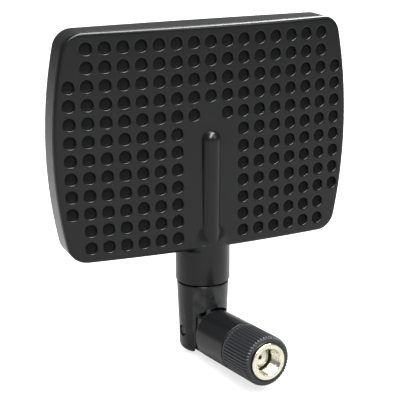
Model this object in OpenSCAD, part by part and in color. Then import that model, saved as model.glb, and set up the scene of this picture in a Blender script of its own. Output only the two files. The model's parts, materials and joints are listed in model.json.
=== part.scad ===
// Small indoor panel antenna with a swivelling neck, a folding elbow and a
// screw-on coaxial plug.  Row frame: +Z up the panel, +Y out of its radiating
// front, origin at the centre of the coupling nut's mouth.

/* [Panel] */
// Width across the bowed sides at mid height
panel_w = 78; // [70:1:90]
// Height between the straight top and bottom edges
panel_h = 56; // [52:1:64]
// Thickness from the middle of the rear face to the middle of the front face
panel_t = 12.2; // [11.5:0.1:14]
// How far each side bows out beyond its corners
side_bow = 3.5; // [2:0.1:5]
// Corner radius of the outline
corner_r = 5; // [3:0.5:8]
// Radius of the rear face, curved about a vertical line
face_r = 288; // [220:1:400]
// Radius of the front face, curved about a vertical line
front_r = 850; // [600:10:1500]

/* [Shells] */
// Thickness of the rear cover
cover_t = 2; // [1.8:0.1:2.4]
// Thickness of the rear cover's visible edge
edge_t = 0.9; // [0.6:0.1:1.2]
// Wall of the front shell
shell_t = 1.6; // [1.2:0.1:2]

/* [Dimples] */
// Distance between neighbouring dimples
dimple_pitch = 4.4; // [4.2:0.1:4.6]
// Width of a dimple
dimple_d = 2.9; // [2:0.1:3.2]
// Depth of a dimple below the rear face
dimple_depth = 1; // [0.5:0.1:1.2]

/* [Neck and spine] */
// Outer diameter of the neck
neck_d = 13.9; // [13.5:0.1:14.5]
// Length of the neck below the panel
neck_len = 9.4; // [8:0.1:12]
// Depth of the neck's axis in front of the rear face
neck_y = 5.5; // [5.3:0.1:5.8]
// Width of the half-round spine on the rear face
spine_w = 5; // [4:0.1:6]
// Height of the spine's domed top above the panel's middle
spine_top = 2.5; // [0:0.5:6]

/* [Yoke] */
// Diameter of the yoke just below the neck
yoke_top_d = 13.3; // [13:0.1:13.6]
// Diameter of the yoke at its ears
yoke_d = 12.2; // [12:0.1:12.6]
// Height of the yoke's top above the hinge
yoke_h = 13.25; // [13:0.05:15]
// Distance from the hinge down to the ends of the ears
ear_drop = 5.4; // [5:0.1:5.8]
// Width of the slot between the ears
slot_w = 9; // [8.6:0.1:9.2]
// Diameter of the two hinge pins
pin_d = 2.2; // [1.8:0.1:2.4]

/* [Elbow arm] */
// Distance from the hinge to the nut's mouth
arm_len = 31.8; // [31:0.1:33]
// Diameter of the smooth barrel
barrel_d = 12.4; // [12.2:0.1:12.6]
// Distance from the hinge to the barrel's shoulder
shoulder = 6.9; // [6.7:0.1:7.3]
// Angle between the arm and the yoke's own line
bend_angle = 94; // [0:1:94]
// Angle that the yoke is turned in the neck
swivel_angle = 6; // [-45:1:45]

/* [Plug] */
// Thread diameter in the coupling nut
thread_d = 6.35; // [6.3:0.01:6.4]
// Length of thread that is free for the mating socket
thread_len = 3.4; // [3:0.1:3.6]
// Outer diameter of the coupling nut
nut_d = 9; // [8.8:0.1:9.2]
// Ribs round the knurled sleeve
rib_count = 48; // [36:1:60]
// Diameter of the coaxial lead
lead_d = 1.8; // [1.4:0.1:1.8]

/* [Hidden] */
$fn = 96;

charcoal = [0.14, 0.145, 0.145];
soft_black = [0.09, 0.095, 0.1];
nickel = [0.82, 0.8, 0.74];
brass = [0.8, 0.65, 0.35];
copper = [0.78, 0.48, 0.3];
alloy = [0.75, 0.76, 0.78];
nylon = [0.92, 0.9, 0.84];
ptfe = [0.95, 0.95, 0.93];
lead_black = [0.08, 0.08, 0.08];

// small clearances and shared lengths
gap = 0.3;          // between parts that move past each other
run = 0.05;         // radial clearance of a running fit
run_wide = 0.4;     // radial clearance of the sleeve round the arm's spigot
over = 1;           // how far a cutter runs past what it cuts
far = 100;          // longer than anything in the model
lap = 0.2;          // how far the shapes that make one piece run into each other
play = 0.1;         // between the rear cover and the front shell

// panel outline, from straight top and bottom edges and bowed sides
half_w = panel_w / 2;
half_h = panel_h / 2;
side_r = (half_h * half_h + side_bow * side_bow) / (2 * side_bow);

// dimple grid
columns = 17;
rows = 12;
middle_column = 9;
function dimple_is_there(c, r) =
    (c == 1 || c == columns) ? (r >= 3 && r <= rows - 2)
    : (c == middle_column) ? r <= 4
    : (abs(c - middle_column) == 1) ? r <= 5
    : true;
function face_y(x) = x * x / (2 * face_r);

// inside the panel
reflector_y = 4.8;
reflector_t = 0.5;
reflector_w = 66;
reflector_h = 44;
patch_y = 8.4;
patch_t = 0.4;
patch_w = 50;
patch_h = 38;
screw_x = 20;
screw_z = 14;
screw_d = 2;
screw_head_d = 3.6;
screw_head_t = 0.8;
boss_d = 4.4;
screw_bore_d = screw_d + 0.2;
lead_y = 3.2;
feed_z = -6;
feed_d = 1;
feed_hole_d = 3;
feed_proud = 0.4;
feed_past = 0.6;         // how far the lead runs past the feed pin
lead_lift_z = -26.6;     // where the lead leaves the neck's line
lead_back_z = -23;       // and where it reaches the height of the ground clip
block_z = -14;
block_w = 6;
block_h = 5;
block_back = 0.8;
lead_ball_d = lead_d + 0.04;

// neck, bush and the yoke's spigot, heights above the hinge
neck_bottom = yoke_h + 0.35;
hinge_drop = half_h + neck_len + neck_bottom;
neck_inside = 2.8;
neck_front = panel_t - shell_t - gap;
neck_bore_d = 10;
spine_y = 0.4;           // depth of the spine's axis in front of the rear face
neck_swell_d = 11.2;     // the neck's root where it dies into the rear face
neck_swell_h = 13;
clip_pocket_h = 4;
clip_bore_d = 10.6;
bush_low = neck_bottom + 0.4;
bush_high = bush_low + 6.5;
spigot_d = 8.8;
spigot_top = bush_high + 2;
clip_low = bush_high + gap;
clip_t = 0.6;
clip_groove_d = 7.6;
ring_z = bush_low + 3;
ring_section = 0.9;
ring_groove = 0.55;      // half the friction ring's groove
clip_r = 4.75;
clip_mouth = 3;
channel_d = 4;
ear_straight = 1;        // height above the hinge at which the yoke starts to widen
yoke_ease = 0.4;         // bevel round the yoke's top

// tongue and lead channel in the elbow
tongue_half = slot_w / 2 - gap;
tongue_r = 4.5;
lead_slot = 3.2;
lead_start = 1.25;
ear_round = 1.5;
slot_arch_r = 9;
slot_top = 6.8;
recess_d = 3;
relief_angle = 95;       // the barrel's relief in the yoke, a degree past its stop
relief_start = 5.6;
relief_d = barrel_d + 0.8;
relief_len = 8;
recess_depth = 0.6;
recess_x = yoke_d / 2 - recess_depth;
pin_in = 2;
pin_sunk = 0.35;         // how far the pins' ends lie below the ears
pin_out = yoke_d / 2 - pin_sunk;

// along the arm, measured from the hinge
barrel_end = 20;
barrel_ease = 0.2;       // bevel at the barrel's outer end
shoulder_round = 0.6;    // the shoulder's rounded edge, as two bevels
shoulder_ease = 0.18;
tongue_root = 0.5;
sleeve_r = barrel_d / 2;
band_len = 0.5;          // plain band at the back of the knurled sleeve
band_ease = 0.15;
band_step = 0.1;
rib_root = 0.3;          // depth of the ribs' roots below the band
rib_sunk = 0.06;
rib_tip = 0.03;
rib_corners = [0.02, 0.22, 0.48, 0.68]; // one rib's corners, in parts of the ribs' pitch
nose_len = 0.4;          // bevel at the front of the sleeve
nose_drop = 0.7;
mouth_len = 0.5;         // groove round the nut at the front of the sleeve
mouth_gap = 0.3;
sleeve_start = barrel_end + gap;
sleeve_end = arm_len - mouth_len;
spigot_end = 23.2;
spigot_r = 4.2;
seat_start = 15;
ferrule_start = 12.2;
core_start = 17;
thread_start = arm_len - thread_len;
plug_sunk = 0.2;
plug_face = thread_start - plug_sunk;
nut_start = 24.6;
lead_notch = 1.6;        // depth of the lead's slot past the hinge, all round
lead_notch_front = 4;    // and on the side that opens as the elbow straightens
ferrule_r = 2.25;
ferrule_bore_r = 2.3;
seat_r = 2.6;
body_r = 2.3;
body_bore_r = 1.9;
body_back_r = 1.2;
body_flange_r = 3.05;
body_flange_t = 0.7;
pin_socket_r = 0.45;
pin_socket_len = 3;
contact_r = 0.65;
core_sunk = 0.4;         // how far insulator and contact sit below the plug's face
retainer_r = 3.2;
retainer_groove_r = 2.05;
retainer_t = 0.4;
retainer_mouth = 1.2;
undercut_r = 3.4;
nut_chamfer = 0.15;
nut_flange = 1.4;
retainer_start = nut_start - gap - retainer_t;
flange_start = nut_start + nut_flange + gap;
core_end = plug_face - core_sunk;

// where the hinge and the panel stand in the row frame
arm_dir = [
    sin(swivel_angle) * sin(bend_angle),
    -cos(swivel_angle) * sin(bend_angle),
    -cos(bend_angle)
];
hinge_at = -arm_len * arm_dir;
panel_at = hinge_at - [0, neck_y, -hinge_drop];

// ---------------------------------------------------------------- placing

// panel frame: origin in the middle of the rear face
module in_panel() {
    translate(panel_at) children();
}

// yoke frame: origin at the hinge, +X along the pins, +Z up the neck
module in_yoke() {
    translate(hinge_at) rotate([0, 0, swivel_angle]) children();
}

// arm frame: origin at the hinge, +Z along the arm and out of the plug
module in_arm() {
    translate(hinge_at) rotate([180 - bend_angle, 0, swivel_angle]) children();
}

// ---------------------------------------------------------------- shapes

function arc(cx, cy, r, a0, a1, steps) =
    [for (k = [0 : steps]) let (a = a0 + (a1 - a0) * k / steps) [cx + r * cos(a), cy + r * sin(a)]];

// the panel's outline, drawn in by "inset"
function outline(inset) =
    let (
        w = half_w - inset,
        h = half_h - inset,
        big = side_r - inset,
        small = corner_r - inset,
        turn = asin((h - small) / (big - small)),
        cx = w - big + (big - small) * cos(turn),
        cz = h - small
    )
    concat(
        arc(w - big, 0, big, -turn, turn, 12),
        arc(cx, cz, small, turn + 12, 90, 6),
        arc(-cx, cz, small, 90, 180 - turn - 12, 6),
        arc(big - w, 0, big, 180 - turn, 180 + turn, 12),
        arc(-cx, -cz, small, 180 + turn + 12, 270, 6),
        arc(cx, -cz, small, 270, 360 - turn - 12, 6)
    );

// the outline as a block from y0 to y1
module block(inset, y0, y1) {
    translate([0, y1, 0]) rotate([90, 0, 0]) linear_extrude(y1 - y0) polygon(outline(inset));
}

// everything in front of a surface that lies "depth" behind the rear face's skin
module beyond_face(depth) {
    translate([0, face_r, -far / 2]) cylinder(r = face_r - depth, h = far, $fn = 180);
}

// everything behind a surface that lies "depth" under the front face's skin
module behind_front(depth) {
    translate([0, panel_t - front_r, -far / 2]) cylinder(r = front_r - depth, h = far, $fn = 180);
}

// cylinder along Y
module rod_y(d, y0, y1) {
    translate([0, y1, 0]) rotate([90, 0, 0]) cylinder(d = d, h = y1 - y0);
}

// cylinder along X
module rod_x(d, x0, x1) {
    translate([x0, 0, 0]) rotate([0, 90, 0]) cylinder(d = d, h = x1 - x0);
}

// ring about Z
module tube(r0, r1, z0, z1) {
    difference() {
        translate([0, 0, z0]) cylinder(r = r1, h = z1 - z0);
        translate([0, 0, z0 - over]) cylinder(r = r0, h = z1 - z0 + 2 * over);
    }
}

module at_screws() {
    for (x = [-screw_x, screw_x], z = [-screw_z, screw_z]) translate([x, 0, z]) children();
}

// ---------------------------------------------------------------- panel

module dimples() {
    for (c = [1 : columns], r = [1 : rows]) {
        x = (c - middle_column) * dimple_pitch;
        z = ((rows + 1) / 2 - r) * dimple_pitch;
        if (dimple_is_there(c, r))
            translate([x, 0, z]) rod_y(dimple_d, -over, face_y(x) + dimple_depth);
    }
}

module spine() {
    top = spine_top - spine_w / 2;
    intersection() {
        union() {
            translate([0, spine_y, -half_h]) cylinder(d = spine_w, h = half_h + top, $fn = 48);
            translate([0, spine_y, top]) sphere(d = spine_w, $fn = 48);
            translate([0, neck_y, -half_h]) cylinder(d1 = neck_d, d2 = neck_swell_d, h = neck_swell_h);
        }
        translate([-half_w, -far / 2, -half_h]) cube([panel_w, far / 2 + cover_t / 2, panel_h]);
    }
}

// the neck's root inside the panel, behind the front wall
module neck_root(d) {
    intersection() {
        translate([0, neck_y, -half_h - lap]) cylinder(d = d, h = neck_inside + lap);
        translate([-d, -d, -half_h - over]) cube([2 * d, d + neck_front, neck_inside + 2 * over]);
    }
}

module rear_cover() color(charcoal) in_panel() {
    difference() {
        union() {
            difference() {
                intersection() {
                    block(0, -over, panel_t);
                    beyond_face(0);
                }
                beyond_face(edge_t);
            }
            difference() {
                intersection() {
                    block(shell_t + play, -over, panel_t);
                    beyond_face(edge_t / 2);
                }
                beyond_face(cover_t);
            }
            spine();
            translate([0, neck_y, -half_h - neck_len]) cylinder(d = neck_d, h = neck_len - play);
            neck_root(neck_d);
            at_screws() rod_y(boss_d, cover_t - lap, reflector_y);
        }
        dimples();
        at_screws() rod_y(screw_d, cover_t, reflector_y + over);
        translate([0, neck_y, -hinge_drop]) {
            cylinder(d = neck_bore_d, h = bush_high + lap);
            translate([0, 0, bush_high]) cylinder(d = clip_bore_d, h = clip_pocket_h);
        }
        translate([0, neck_y, -half_h]) cylinder(d = channel_d, h = neck_inside + over);
    }
}

module front_shell() color(charcoal) in_panel() {
    difference() {
        intersection() {
            block(0, 0, panel_t + over);
            beyond_face(edge_t);
            behind_front(0);
        }
        intersection() {
            block(shell_t, -over, panel_t);
            behind_front(shell_t);
        }
        intersection() {
            translate([0, neck_y, -half_h - over]) cylinder(d = neck_d + 2 * play, h = neck_inside + over);
            translate([-neck_d, -neck_d, -half_h - 2 * over])
                cube([2 * neck_d, neck_d + neck_front + play, 3 * over + shell_t]);
        }
    }
}

module reflector_plate() color(alloy) in_panel() {
    difference() {
        translate([-reflector_w / 2, reflector_y, -reflector_h / 2])
            cube([reflector_w, reflector_t, reflector_h]);
        at_screws() rod_y(screw_bore_d, reflector_y - over, reflector_y + over);
        translate([0, 0, feed_z]) rod_y(feed_hole_d, reflector_y - over, reflector_y + over);
    }
}

module patch_plate() color(copper) in_panel() {
    difference() {
        translate([-patch_w / 2, patch_y, -patch_h / 2]) cube([patch_w, patch_t, patch_h]);
        at_screws() rod_y(screw_bore_d, patch_y - over, patch_y + over);
        translate([0, 0, feed_z]) rod_y(feed_d, patch_y - over, patch_y + over);
    }
}

module patch_spacers() color(nylon) in_panel() {
    at_screws() difference() {
        rod_y(boss_d, reflector_y + reflector_t, patch_y);
        rod_y(screw_bore_d, reflector_y, patch_y + over);
    }
}

module patch_screws() color(nylon) in_panel() {
    at_screws() union() {
        rod_y(screw_d, cover_t + lap, patch_y + patch_t);
        rod_y(screw_head_d, patch_y + patch_t, patch_y + patch_t + screw_head_t);
    }
}

module feed_pin() color(brass) in_panel() {
    translate([0, 0, feed_z]) rod_y(feed_d, lead_y + lead_d / 2, patch_y + patch_t + feed_proud);
}

module ground_clip() color(alloy) in_panel() {
    translate([0, 0, block_z]) difference() {
        translate([-block_w / 2, lead_y - block_back, -block_h / 2])
            cube([block_w, reflector_y - lead_y + block_back, block_h]);
        translate([0, lead_y, -block_h]) cylinder(d = lead_d, h = 2 * block_h);
    }
}

// stretch of lead between two points, with a ball at its end
module lead_run(a, b, ball = true) {
    step = b - a;
    len = norm(step);
    tilt = acos(step[2] / len);
    turn = atan2(step[1], step[0]);
    translate(a) rotate([0, tilt, turn]) cylinder(d = lead_d, h = len);
    if (ball) translate(b) sphere(d = lead_ball_d);
}

module lead_in_panel() color(lead_black) in_panel() {
    low = [0, neck_y, spigot_top + gap - hinge_drop];
    lift = [0, neck_y, lead_lift_z];
    back = [0, lead_y, lead_back_z];
    feed = [0, lead_y, feed_z + feed_past];
    lead_run(low, lift);
    lead_run(lift, back);
    lead_run(back, feed, ball = false);
}

module neck_bush() color(nylon) in_panel() {
    translate([0, neck_y, -hinge_drop]) tube(spigot_d / 2 + run, neck_bore_d / 2, bush_low, bush_high);
}

// ---------------------------------------------------------------- yoke

module yoke_profile() {
    foot = yoke_d / 2 - ear_round;
    polygon(concat(
        [[0, -ear_drop]],
        arc(foot, ear_round - ear_drop, ear_round, -90, 0, 8),
        [
            [yoke_d / 2, ear_straight],
            [yoke_top_d / 2, yoke_h - yoke_ease],
            [yoke_top_d / 2 - yoke_ease, yoke_h],
            [spigot_d / 2, yoke_h],
            [spigot_d / 2, ring_z - ring_groove],
            [spigot_d / 2 - ring_section, ring_z - ring_groove],
            [spigot_d / 2 - ring_section, ring_z + ring_groove],
            [spigot_d / 2, ring_z + ring_groove],
            [spigot_d / 2, clip_low],
            [clip_groove_d / 2, clip_low],
            [clip_groove_d / 2, clip_low + clip_t],
            [spigot_d / 2, clip_low + clip_t],
            [spigot_d / 2, spigot_top],
            [0, spigot_top]
        ]
    ));
}

module yoke() color(charcoal) in_yoke() {
    difference() {
        rotate_extrude() yoke_profile();
        intersection() {
            translate([-slot_w / 2, -far / 2, -far / 2]) cube([slot_w, far, far]);
            union() {
                translate([0, 0, slot_top - slot_arch_r]) rod_y(2 * slot_arch_r, -far / 4, far / 4);
                translate([-far / 4, -far / 4, -far / 4]) cube([far / 2, far / 2, far / 4]);
            }
        }
        rotate([180 - relief_angle, 0, 0]) translate([0, 0, relief_start])
            cylinder(d = relief_d, h = relief_len);
        cylinder(d = channel_d, h = spigot_top + over);
        rod_x(pin_d, -far / 4, far / 4);
        rod_x(recess_d, recess_x, far / 4);
        rod_x(recess_d, -far / 4, -recess_x);
    }
}

module swivel_clip() color(alloy) in_yoke() {
    difference() {
        tube(clip_groove_d / 2, clip_r, clip_low, clip_low + clip_t);
        translate([-clip_mouth / 2, 0, clip_low - over]) cube([clip_mouth, clip_r + over, clip_t + 2 * over]);
    }
}

module friction_ring() color(soft_black) in_yoke() {
    translate([0, 0, ring_z]) rotate_extrude()
        translate([spigot_d / 2 - ring_section / 2, 0]) circle(d = ring_section, $fn = 32);
}

module hinge_pins() color(alloy) in_yoke() {
    rod_x(pin_d, pin_in, pin_out);
    rod_x(pin_d, -pin_out, -pin_in);
}

module lead_in_yoke() color(lead_black) in_yoke() {
    translate([0, 0, lead_start]) cylinder(d = lead_d, h = spigot_top - lead_start);
}

// ---------------------------------------------------------------- arm and plug

module elbow_arm() color(charcoal) in_arm() {
    difference() {
        union() {
            rotate_extrude() polygon([
                [0, shoulder],
                [barrel_d / 2 - shoulder_round, shoulder],
                [barrel_d / 2 - shoulder_ease, shoulder + shoulder_ease],
                [barrel_d / 2, shoulder + shoulder_round],
                [barrel_d / 2, barrel_end - barrel_ease],
                [barrel_d / 2 - barrel_ease, barrel_end],
                [spigot_r, barrel_end],
                [spigot_r, spigot_end],
                [0, spigot_end]
            ]);
            rod_x(2 * tongue_r, -tongue_half, tongue_half);
            translate([-tongue_half, -tongue_r, 0])
                cube([2 * tongue_half, 2 * tongue_r, shoulder + tongue_root]);
        }
        rod_x(pin_d + 2 * run, -far / 4, far / 4);
        // path of the lead as the elbow straightens
        translate([-lead_slot / 2, -tongue_r - over, -tongue_r - over])
            cube([lead_slot, 2 * tongue_r + 2 * over, tongue_r + over + lead_notch]);
        translate([-lead_slot / 2, 0, -tongue_r - over])
            cube([lead_slot, tongue_r + over, tongue_r + over + lead_notch_front]);
        cylinder(d = lead_slot, h = spigot_end + over);
        translate([0, 0, ferrule_start]) cylinder(r = ferrule_bore_r, h = far);
        translate([0, 0, seat_start]) cylinder(r = seat_r, h = far);
    }
}

module lead_in_arm() color(lead_black) in_arm() {
    translate([0, 0, lead_start]) cylinder(d = lead_d, h = core_start - lead_start);
}

module crimp_ferrule() color(nickel) in_arm() {
    tube(lead_d / 2, ferrule_r, ferrule_start, seat_start);
}

module plug_body() color(nickel) in_arm() {
    rotate_extrude() polygon([
        [body_back_r, seat_start],
        [seat_r, seat_start],
        [seat_r, spigot_end],
        [body_r, spigot_end],
        [body_r, retainer_start],
        [retainer_groove_r, retainer_start],
        [retainer_groove_r, retainer_start + retainer_t],
        [body_r, retainer_start + retainer_t],
        [body_r, flange_start],
        [body_flange_r, flange_start],
        [body_flange_r, flange_start + body_flange_t],
        [body_r, flange_start + body_flange_t],
        [body_r, plug_face],
        [body_bore_r, plug_face],
        [body_bore_r, core_start],
        [body_back_r, core_start]
    ]);
}

module nut_retaining_ring() color(brass) in_arm() {
    difference() {
        tube(retainer_groove_r, retainer_r, retainer_start, retainer_start + retainer_t);
        translate([-retainer_mouth / 2, 0, retainer_start - over])
            cube([retainer_mouth, retainer_r + over, retainer_t + 2 * over]);
    }
}

module insulator() color(ptfe) in_arm() {
    tube(contact_r, body_bore_r, core_start, core_end);
}

module centre_contact() color(brass) in_arm() {
    difference() {
        translate([0, 0, core_start]) cylinder(r = contact_r, h = core_end - core_start);
        translate([0, 0, core_end - pin_socket_len]) cylinder(r = pin_socket_r, h = pin_socket_len + over);
    }
}

module coupling_nut() color(nickel) in_arm() {
    rotate_extrude() polygon([
        [body_r + run, nut_start],
        [nut_d / 2, nut_start],
        [nut_d / 2, arm_len - nut_chamfer],
        [nut_d / 2 - nut_chamfer, arm_len],
        [thread_d / 2, arm_len],
        [thread_d / 2, thread_start],
        [undercut_r, thread_start],
        [undercut_r, nut_start + nut_flange],
        [body_r + run, nut_start + nut_flange]
    ]);
}

// ribbed ring outline, a shallow trapezium for each rib
function ribs(root, tip) =
    [for (k = [0 : rib_count - 1], c = [0 : 3])
        let (a = (k + rib_corners[c]) * 360 / rib_count, r = (c == 0 || c == 3) ? root : tip)
        [r * cos(a), r * sin(a)]];

module knurled_sleeve() color(soft_black) in_arm() {
    difference() {
        union() {
            rotate_extrude() polygon([
                [0, sleeve_start],
                [sleeve_r - band_ease, sleeve_start],
                [sleeve_r, sleeve_start + band_ease],
                [sleeve_r, sleeve_start + band_len],
                [sleeve_r - rib_root, sleeve_start + band_len + band_step],
                [sleeve_r - rib_root, sleeve_end - nose_len],
                [sleeve_r - nose_drop, sleeve_end],
                [0, sleeve_end]
            ]);
            translate([0, 0, sleeve_start + band_len - band_step])
                linear_extrude(sleeve_end - sleeve_start - band_len - nose_len - band_step)
                polygon(ribs(sleeve_r - rib_root - rib_sunk, sleeve_r - rib_tip));
        }
        translate([0, 0, sleeve_start - over])
            cylinder(r = spigot_r + run_wide, h = nut_start - sleeve_start + over);
        translate([0, 0, sleeve_start]) cylinder(d = nut_d, h = far);
        translate([0, 0, sleeve_end - mouth_len]) cylinder(d = nut_d + 2 * mouth_gap, h = far);
    }
}

// ---------------------------------------------------------------- drawing

rear_cover();
front_shell();
reflector_plate();
patch_plate();
patch_spacers();
patch_screws();
feed_pin();
ground_clip();
lead_in_panel();
neck_bush();
yoke();
swivel_clip();
friction_ring();
hinge_pins();
lead_in_yoke();
elbow_arm();
lead_in_arm();
crimp_ferrule();
plug_body();
nut_retaining_ring();
insulator();
centre_contact();
coupling_nut();
knurled_sleeve();
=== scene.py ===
import json
import math

import bmesh
import bpy
from mathutils import Matrix, Vector
from mathutils.geometry import delaunay_2d_cdt


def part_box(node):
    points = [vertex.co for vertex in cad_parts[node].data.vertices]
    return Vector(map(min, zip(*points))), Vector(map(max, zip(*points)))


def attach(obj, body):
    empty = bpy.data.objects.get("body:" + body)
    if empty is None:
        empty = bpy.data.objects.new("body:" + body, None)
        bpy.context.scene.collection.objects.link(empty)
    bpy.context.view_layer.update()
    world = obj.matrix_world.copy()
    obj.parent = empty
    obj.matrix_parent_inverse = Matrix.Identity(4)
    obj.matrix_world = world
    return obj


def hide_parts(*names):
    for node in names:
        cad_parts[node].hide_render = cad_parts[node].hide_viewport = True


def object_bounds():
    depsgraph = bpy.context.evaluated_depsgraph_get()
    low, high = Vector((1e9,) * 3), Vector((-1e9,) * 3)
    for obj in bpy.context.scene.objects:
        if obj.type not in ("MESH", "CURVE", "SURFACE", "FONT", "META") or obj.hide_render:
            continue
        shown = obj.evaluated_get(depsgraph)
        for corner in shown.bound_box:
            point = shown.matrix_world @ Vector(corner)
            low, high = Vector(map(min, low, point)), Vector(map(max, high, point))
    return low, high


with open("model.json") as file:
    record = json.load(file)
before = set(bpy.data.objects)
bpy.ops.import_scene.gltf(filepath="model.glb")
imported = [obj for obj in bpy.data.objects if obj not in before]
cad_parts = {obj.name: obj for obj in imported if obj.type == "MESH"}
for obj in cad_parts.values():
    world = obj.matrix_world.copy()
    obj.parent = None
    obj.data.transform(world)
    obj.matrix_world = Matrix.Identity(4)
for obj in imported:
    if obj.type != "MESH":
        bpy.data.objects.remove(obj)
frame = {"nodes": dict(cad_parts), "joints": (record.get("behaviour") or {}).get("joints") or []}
cad_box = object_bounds()

# ---- sizes, in millimetres

MM = 0.001

# panel outline: straight top and bottom, bowed sides, round corners
PANEL_W = 78.0
PANEL_H = 56.0
PANEL_T = 12.2
SIDE_BOW = 3.5
CORNER_R = 5.0
FACE_R = 288.0
FRONT_R = 850.0
SIDE_R = ((PANEL_H / 2) ** 2 + SIDE_BOW**2) / (2 * SIDE_BOW)

# shells
COVER_T = 2.0
EDGE_T = 0.9
SHELL_T = 1.6
REAR_FILLET = 0.8
FRONT_FILLET = 1.7
SEAM_CUT = 0.1
SHELL_PLAY = 0.1

# dimples
PITCH = 4.4
COLUMNS = 17
ROWS = 12
MIDDLE = 9
DIMPLE_R = 1.45
DIMPLE_DEPTH = 1.0
DIMPLE_SIDES = 24
DIMPLE_SKIRT = 1.85
DIMPLE_LIP = 0.36

# spine and neck
SPINE_R = 2.5
SPINE_HEIGHT = 2.1
NECK_R = 6.95
NECK_Y = 5.5
NECK_LEN = 9.4
NECK_SINK = 0.03
NECK_LOW = 0.5
NECK_GROOVE = 0.3
NECK_INSIDE = 2.9
NECK_BORE_R = 5.0
CLIP_BORE_R = 5.3
CLIP_POCKET = 4.0
LEAD_HOLE_R = 2.0

# yoke
YOKE_TOP_R = 6.65
YOKE_R = 6.1
YOKE_H = 13.25
EAR_DROP = 5.4
SLOT_W = 9.0
SLOT_TOP = 6.8
SLOT_ARCH_R = 9.0
PIN_R = 1.1
PIN_IN = 2.0
PIN_SINK = 0.35
RECESS_R = 1.5
RECESS_DEPTH = 0.6
RELIEF_ANGLE = 95.0
RELIEF_START = 5.6
RELIEF_GAP = 0.4
SPIGOT_R = 4.4
RING_SECTION = 0.9
RING_GROOVE = 0.55
CLIP_T = 0.6
CLIP_GROOVE = 0.6

# arm, sleeve and plug, measured from the hinge
BARREL_R = 6.2
SHOULDER = 6.9
BARREL_END = 20.0
TONGUE_HALF = 4.2
TONGUE_R = 4.5
LEAD_SLOT = 3.2
LEAD_NOTCH = 1.6
LEAD_NOTCH_FRONT = 5.5
FERRULE_BORE_R = 2.3
FERRULE_START = 12.2
SEAT_R = 2.6
SEAT_START = 15.0
ARM_SPIGOT_R = 4.2
ARM_SPIGOT_END = 23.2
SLEEVE_START = 20.3
RIB_COUNT = 48
RIB_DEPTH = 0.3
SLEEVE_BORE_R = 4.62
SLEEVE_EDGE = 0.18
NOSE_R = 0.8
MOUTH_LEN = 0.6
NUT_R = 4.5
NUT_START = 24.6
NUT_BORE_R = 2.35
NUT_FLANGE = 1.4
UNDERCUT_R = 3.4
THREAD_R = 3.175
THREAD_PITCH = 25.4 / 36
THREAD_LEN = 3.4
THREAD_DEPTH = 0.36
BODY_R = 2.3
BODY_BORE_R = 1.9
BODY_BACK_R = 1.2
BODY_FLANGE_R = 3.05
BODY_FLANGE_T = 0.7
RETAINER_GROOVE_R = 2.05
RETAINER_T = 0.4
CORE_START = 17.0
CORE_SUNK = 0.4
CONTACT_R = 0.65
SOCKET_R = 0.45
SOCKET_LEN = 3.0
SLIT_W = 0.14
PART_GAP = 0.3

# ---- places, from the frame

joints = {j["name"]: j for j in frame["joints"]}
hinge_at = Vector(joints["elbow_fold"]["pos_m"])
arm_dir = Vector(joints["nut_spin"]["axis"]).normalized()
pin_dir = -Vector(joints["elbow_fold"]["axis"]).normalized()
up = Vector((0, 0, 1))
ARM_LEN = hinge_at.length / MM
SLEEVE_END = ARM_LEN - 0.5
THREAD_START = ARM_LEN - THREAD_LEN
PLUG_FACE = THREAD_START - 0.2
CORE_FACE = PLUG_FACE - CORE_SUNK


def placing(origin, x, z):
    """From a part's own millimetres to the shared frame's metres."""
    y = z.cross(x).normalized()
    turn = Matrix((x, y, z)).transposed().to_4x4()
    return Matrix.Translation(origin) @ turn @ Matrix.Scale(MM, 4)


shell_low, shell_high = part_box("front_shell")
panel_origin = Vector(
    (
        (shell_low.x + shell_high.x) / 2,
        shell_high.y - PANEL_T * MM,
        (shell_low.z + shell_high.z) / 2,
    )
)
IN_PANEL = placing(panel_origin, Vector((1, 0, 0)), up)
IN_YOKE = placing(hinge_at, pin_dir, up)
IN_ARM = placing(hinge_at, pin_dir, arm_dir)
HINGE_Z = (hinge_at.z - panel_origin.z) / MM

# heights above the hinge of what turns in the neck
NECK_BOTTOM = YOKE_H + 0.35
BUSH_LOW = NECK_BOTTOM + 0.4
BUSH_HIGH = BUSH_LOW + 6.5
SPIGOT_TOP = BUSH_HIGH + 2
CLIP_LOW = BUSH_HIGH + PART_GAP
RING_Z = BUSH_LOW + 3

# ---- node tree helpers


def feed(tree, socket, value):
    """Links an input to another node's output, or gives it a plain value."""
    if isinstance(value, bpy.types.NodeSocket):
        tree.links.new(value, socket)
    else:
        socket.default_value = value


def add(tree, kind, inputs=None, **settings):
    """A new node, with its settings and its inputs."""
    made = tree.nodes.new(kind)
    for key, value in settings.items():
        setattr(made, key, value)
    for key, value in (inputs or {}).items():
        feed(tree, made.inputs[key], value)
    return made


def maths(tree, operation, *values, clamp=False):
    made = tree.nodes.new("ShaderNodeMath")
    made.operation = operation
    made.use_clamp = clamp
    for socket, value in zip(made.inputs, values):
        feed(tree, socket, value)
    return made.outputs[0]


def mix(tree, share, plain, other, kind="FLOAT"):
    """Two numbers or two colours mixed by a share from 0 to 1."""
    first, result = {"FLOAT": (2, 0), "RGBA": (6, 2)}[kind]
    made = add(tree, "ShaderNodeMix", {0: share, first: plain, first + 1: other}, data_type=kind)
    return made.outputs[result]


def put_out(tree, end, **results):
    for name, socket in results.items():
        tree.links.new(socket, end.inputs[name])


def group_tree(name, kind, inputs, outputs):
    """A node group with named inputs and outputs, and its two end nodes."""
    tree = bpy.data.node_groups.new(name, kind)
    for label, socket, value in inputs:
        made = tree.interface.new_socket(name=label, in_out="INPUT", socket_type=socket)
        if value is not None:
            made.default_value = value
    for label, socket in outputs:
        tree.interface.new_socket(name=label, in_out="OUTPUT", socket_type=socket)
    return tree, tree.nodes.new("NodeGroupInput"), tree.nodes.new("NodeGroupOutput")


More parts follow.
